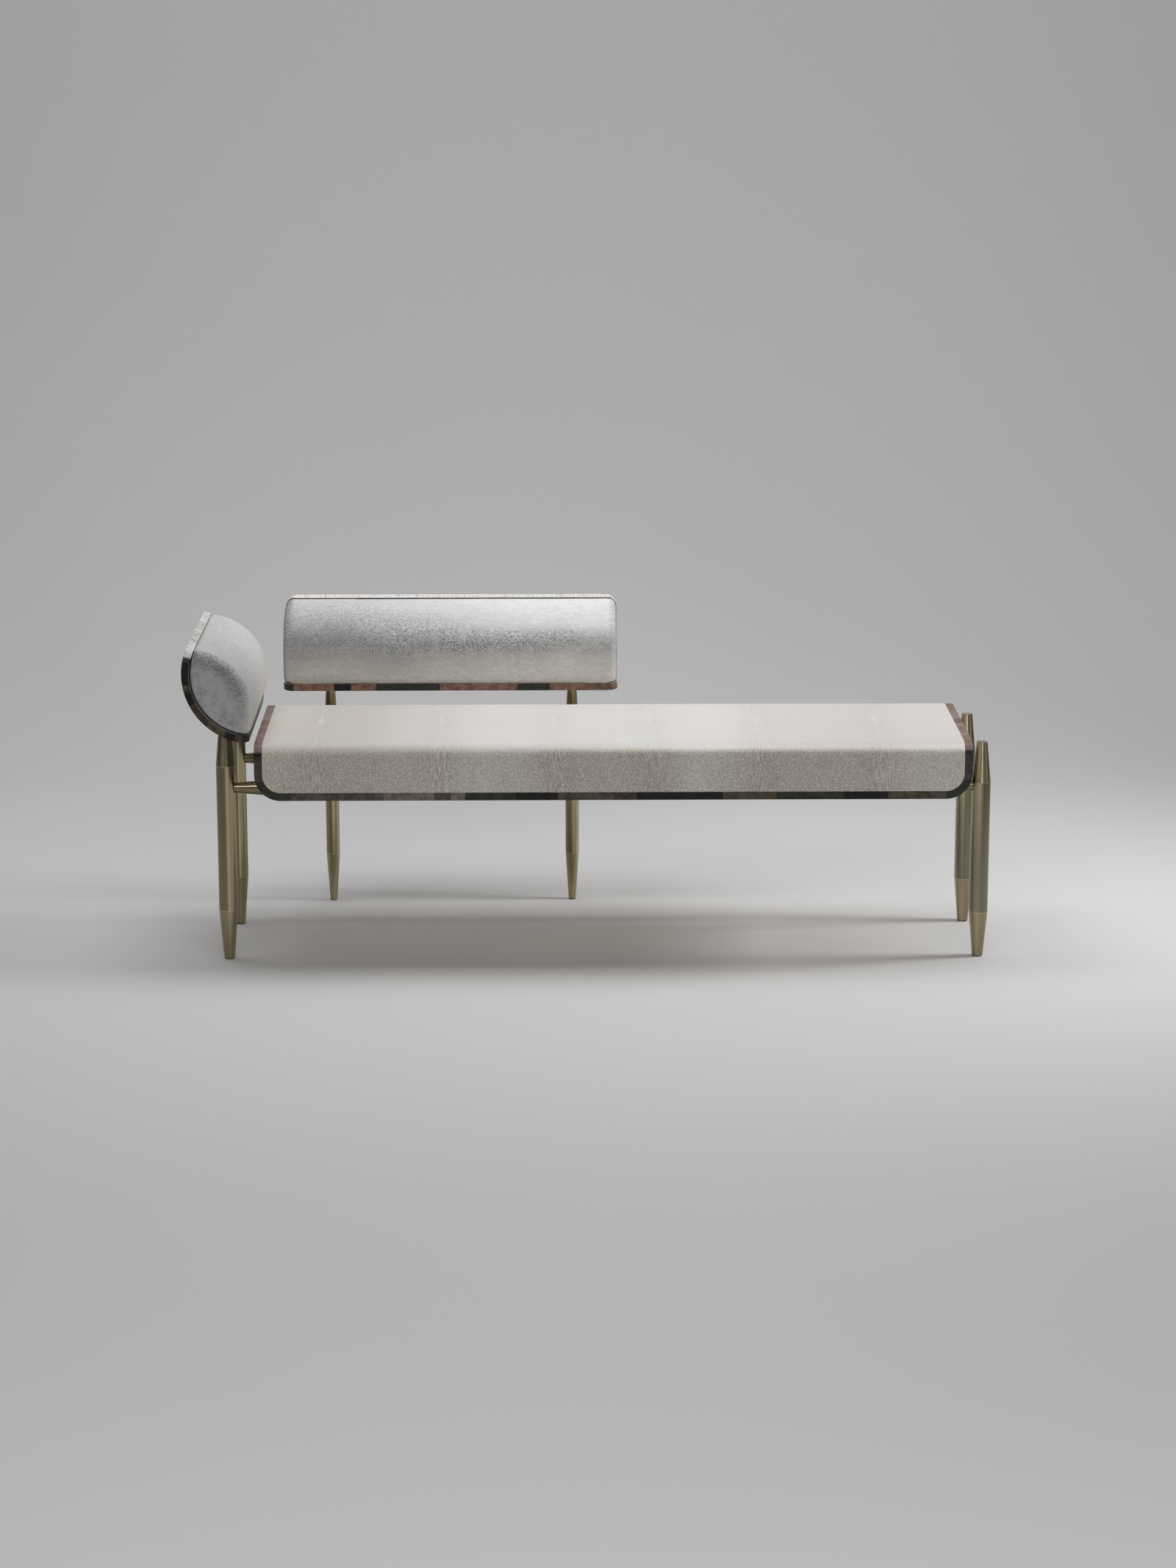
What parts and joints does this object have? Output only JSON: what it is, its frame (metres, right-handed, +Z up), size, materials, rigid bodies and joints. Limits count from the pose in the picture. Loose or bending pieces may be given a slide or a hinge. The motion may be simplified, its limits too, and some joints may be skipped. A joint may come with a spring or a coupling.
{
  "type": "recamier",
  "caption": "Daybed with a hide-clad seat block on turned metal spindle legs and rails, a leaf-section padded headrest across one end and a low padded backrest.",
  "frame": {"origin": "on the floor, under the middle of the whole piece's box", "axes": "+X along the seat from the headrest end to the open end, +Y from the front to the backrest, +Z up"},
  "size_m": [1.7006, 0.6426, 0.6903],
  "materials": {
    "plywood": "sanded, unfinished",
    "hardwood": "planed, unfinished",
    "seat_hide": "polished pebble-grained cream hide",
    "pad_hide": "short brushed nap, pale grey",
    "shell_inlay": "shell pieces bound in clear resin, polished",
    "aged_brass": "brushed lengthwise, olive patina",
    "zinc_steel": "zinc plated",
    "glide_plastic": "moulded, matt",
    "foam": "cut foam"
  },
  "bodies": {
    "root": {"seat_top_board": "plywood", "seat_front_beam": "hardwood", "seat_rear_beam": "hardwood", "seat_left_end_block": "hardwood", "seat_right_end_block": "hardwood", "seat_ribs": "plywood", "seat_base_board": "plywood", "seat_hide_1": "seat_hide", "seat_hide_2": "seat_hide", "seat_hide_3": "seat_hide", "seat_hide_4": "seat_hide", "seat_hide_5": "seat_hide", "seat_hide_6": "seat_hide", "seat_left_end_hide": "seat_hide", "seat_right_end_hide": "seat_hide", "seat_left_border": "shell_inlay", "seat_right_border": "shell_inlay", "seat_front_border": "shell_inlay", "seat_rear_border": "shell_inlay", "front_rail_tube": "aged_brass", "rear_rail_tube": "aged_brass", "rail_ends": "aged_brass", "left_stretcher": "aged_brass", "right_stretcher": "aged_brass", "front_left_leg_tube": "aged_brass", "rear_left_leg_tube": "aged_brass", "front_right_leg_tube": "aged_brass", "rear_right_leg_tube": "aged_brass", "back_left_leg_tube": "aged_brass", "back_right_leg_tube": "aged_brass", "left_leg_feet": "aged_brass", "right_leg_feet": "aged_brass", "back_leg_feet": "aged_brass", "left_leg_tops": "aged_brass", "right_leg_tops": "aged_brass", "back_leg_tops": "aged_brass", "foot_glides": "glide_plastic", "headrest_trough": "plywood", "headrest_backing": "seat_hide", "headrest_top_rim": "shell_inlay", "headrest_bottom_rim": "shell_inlay", "headrest_end_rims": "shell_inlay", "headrest_pad_board": "plywood", "headrest_foam": "foam", "headrest_cover": "pad_hide", "backrest_trough": "plywood", "backrest_backing": "seat_hide", "backrest_top_rim": "shell_inlay", "backrest_bottom_rim": "shell_inlay", "backrest_end_rims": "shell_inlay", "backrest_pad_board": "plywood", "backrest_foam": "foam", "backrest_cover": "pad_hide", "rail_studs": "zinc_steel", "rail_bolts": "zinc_steel", "trough_studs": "zinc_steel", "stretcher_studs": "zinc_steel", "base_screws": "zinc_steel", "pad_screws": "zinc_steel"}
  },
  "joints": []
}
